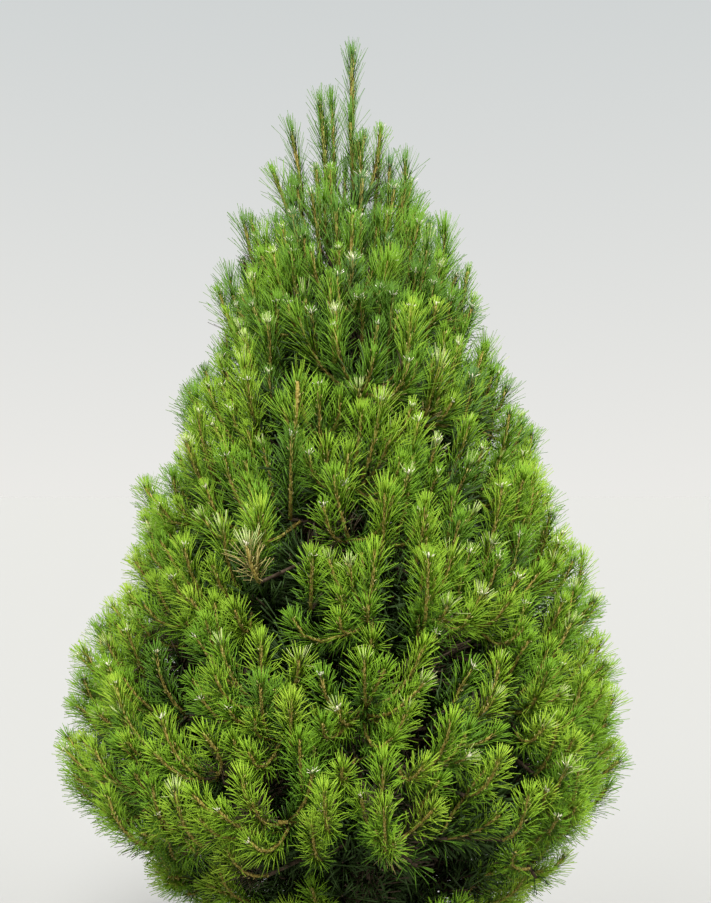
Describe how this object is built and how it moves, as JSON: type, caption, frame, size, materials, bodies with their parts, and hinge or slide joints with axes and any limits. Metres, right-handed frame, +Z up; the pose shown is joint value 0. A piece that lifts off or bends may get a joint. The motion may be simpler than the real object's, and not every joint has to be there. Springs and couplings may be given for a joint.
{
  "type": "potted austrian pine tree",
  "caption": "Young pine with a dense conical crown of long needles from near the soil to an upright leader, in a plain round nursery container.",
  "frame": {"origin": "centre of the container's flat underside, which is also the axis of the trunk", "axes": "+Z up along the trunk; the picture looks along +Y, with +X to its right"},
  "size_m": [2.058, 2.0714, 3.743],
  "materials": {
    "container": "dull black, lightly textured",
    "potting_mix": "dark bark compost",
    "bark": "rough grey-brown bark",
    "needles": "satin green needles"
  },
  "bodies": {
    "root": {"pot": "container", "soil": "potting_mix", "trunk": "bark", "bough_1_1": "bark", "bough_1_2": "bark", "bough_1_3": "bark", "bough_1_4": "bark", "bough_1_5": "bark", "bough_1_6": "bark", "bough_2_1": "bark", "bough_2_2": "bark", "bough_2_3": "bark", "bough_2_4": "bark", "bough_2_5": "bark", "bough_2_6": "bark", "bough_3_1": "bark", "bough_3_2": "bark", "bough_3_3": "bark", "bough_3_4": "bark", "bough_3_5": "bark", "bough_4_1": "bark", "bough_4_2": "bark", "bough_4_3": "bark", "bough_4_4": "bark", "bough_4_5": "bark", "foliage_1_1": "needles", "foliage_1_2": "needles", "foliage_1_3": "needles", "foliage_1_4": "needles", "foliage_1_5": "needles", "foliage_1_6": "needles", "foliage_2_1": "needles", "foliage_2_2": "needles", "foliage_2_3": "needles", "foliage_2_4": "needles", "foliage_2_5": "needles", "foliage_2_6": "needles", "foliage_3_1": "needles", "foliage_3_2": "needles", "foliage_3_3": "needles", "foliage_3_4": "needles", "foliage_3_5": "needles", "foliage_4_1": "needles", "foliage_4_2": "needles", "foliage_4_3": "needles", "foliage_4_4": "needles", "foliage_4_5": "needles", "foliage_5_1": "needles", "foliage_5_2": "needles", "foliage_5_3": "needles", "foliage_5_4": "needles", "foliage_6_1": "needles", "foliage_6_2": "needles", "foliage_6_3": "needles", "foliage_6_4": "needles", "foliage_7_1": "needles", "foliage_7_2": "needles", "foliage_7_3": "needles", "foliage_top": "needles"}
  },
  "joints": []
}
